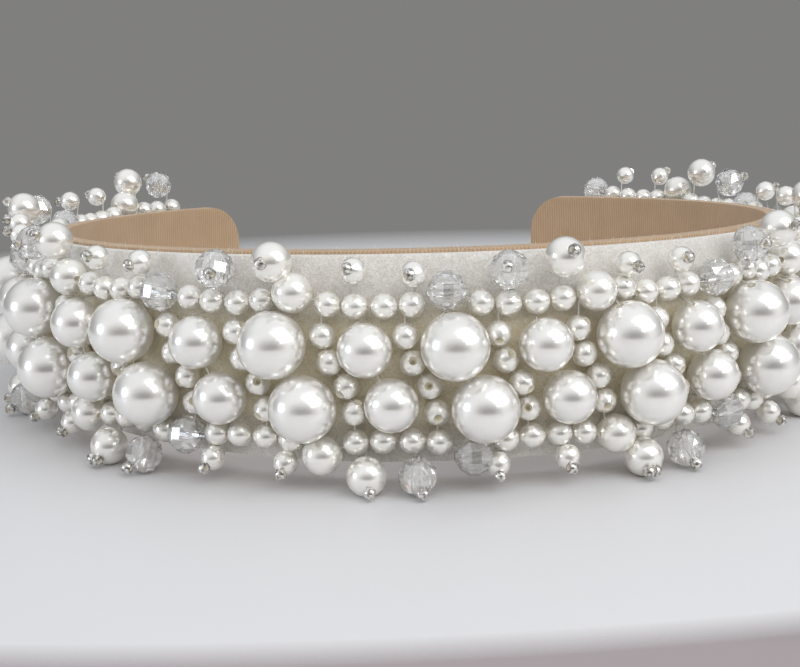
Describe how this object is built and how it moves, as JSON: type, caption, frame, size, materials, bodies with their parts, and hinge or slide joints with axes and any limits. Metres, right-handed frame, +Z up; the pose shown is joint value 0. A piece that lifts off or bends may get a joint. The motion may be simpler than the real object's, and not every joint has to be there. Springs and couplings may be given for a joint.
{
  "type": "pearl headband",
  "caption": "Stiff C-shaped headband wrapped in ribbon and faced with felt, sewn all over with round pearls, small pearl strings and faceted beads, lying on its edge.",
  "frame": {"origin": "middle of the bounding box, on the ground that the headband lies on", "axes": "+X from ear to ear, the crown towards -Y and the tips towards +Y, +Z up along the band's width"},
  "size_m": [0.1602, 0.1386, 0.0374],
  "materials": {
    "peach_ribbon": "ribbed peach ribbon",
    "cream_felt": "cream felt",
    "ivory_pearl": "lustrous ivory pearl",
    "small_pearl": "small ivory pearls and clear faceted beads on thread"
  },
  "bodies": {
    "root": {"ribbon_band": "peach_ribbon", "felt_facing": "cream_felt", "large_pearl_upper_01": "ivory_pearl", "large_pearl_lower_01": "ivory_pearl", "large_pearl_upper_02": "ivory_pearl", "large_pearl_lower_02": "ivory_pearl", "large_pearl_upper_03": "ivory_pearl", "large_pearl_lower_03": "ivory_pearl", "large_pearl_upper_04": "ivory_pearl", "large_pearl_lower_04": "ivory_pearl", "large_pearl_upper_05": "ivory_pearl", "large_pearl_lower_05": "ivory_pearl", "large_pearl_upper_06": "ivory_pearl", "large_pearl_lower_06": "ivory_pearl", "large_pearl_upper_07": "ivory_pearl", "large_pearl_lower_07": "ivory_pearl", "large_pearl_upper_08": "ivory_pearl", "large_pearl_lower_08": "ivory_pearl", "large_pearl_upper_09": "ivory_pearl", "large_pearl_lower_09": "ivory_pearl", "large_pearl_upper_10": "ivory_pearl", "large_pearl_lower_10": "ivory_pearl", "large_pearl_upper_11": "ivory_pearl", "large_pearl_lower_11": "ivory_pearl", "large_pearl_upper_12": "ivory_pearl", "large_pearl_lower_12": "ivory_pearl", "large_pearl_upper_13": "ivory_pearl", "large_pearl_lower_13": "ivory_pearl", "medium_pearl_pair_01": "ivory_pearl", "medium_pearl_pair_02": "ivory_pearl", "medium_pearl_pair_03": "ivory_pearl", "medium_pearl_pair_04": "ivory_pearl", "medium_pearl_pair_05": "ivory_pearl", "medium_pearl_pair_06": "ivory_pearl", "medium_pearl_pair_07": "ivory_pearl", "medium_pearl_pair_08": "ivory_pearl", "medium_pearl_pair_09": "ivory_pearl", "medium_pearl_pair_10": "ivory_pearl", "medium_pearl_pair_11": "ivory_pearl", "medium_pearl_pair_12": "ivory_pearl", "medium_pearl_pair_13": "ivory_pearl", "medium_pearl_pair_14": "ivory_pearl", "small_bead_net_left": "small_pearl", "small_bead_net_right": "small_pearl"}
  },
  "joints": []
}
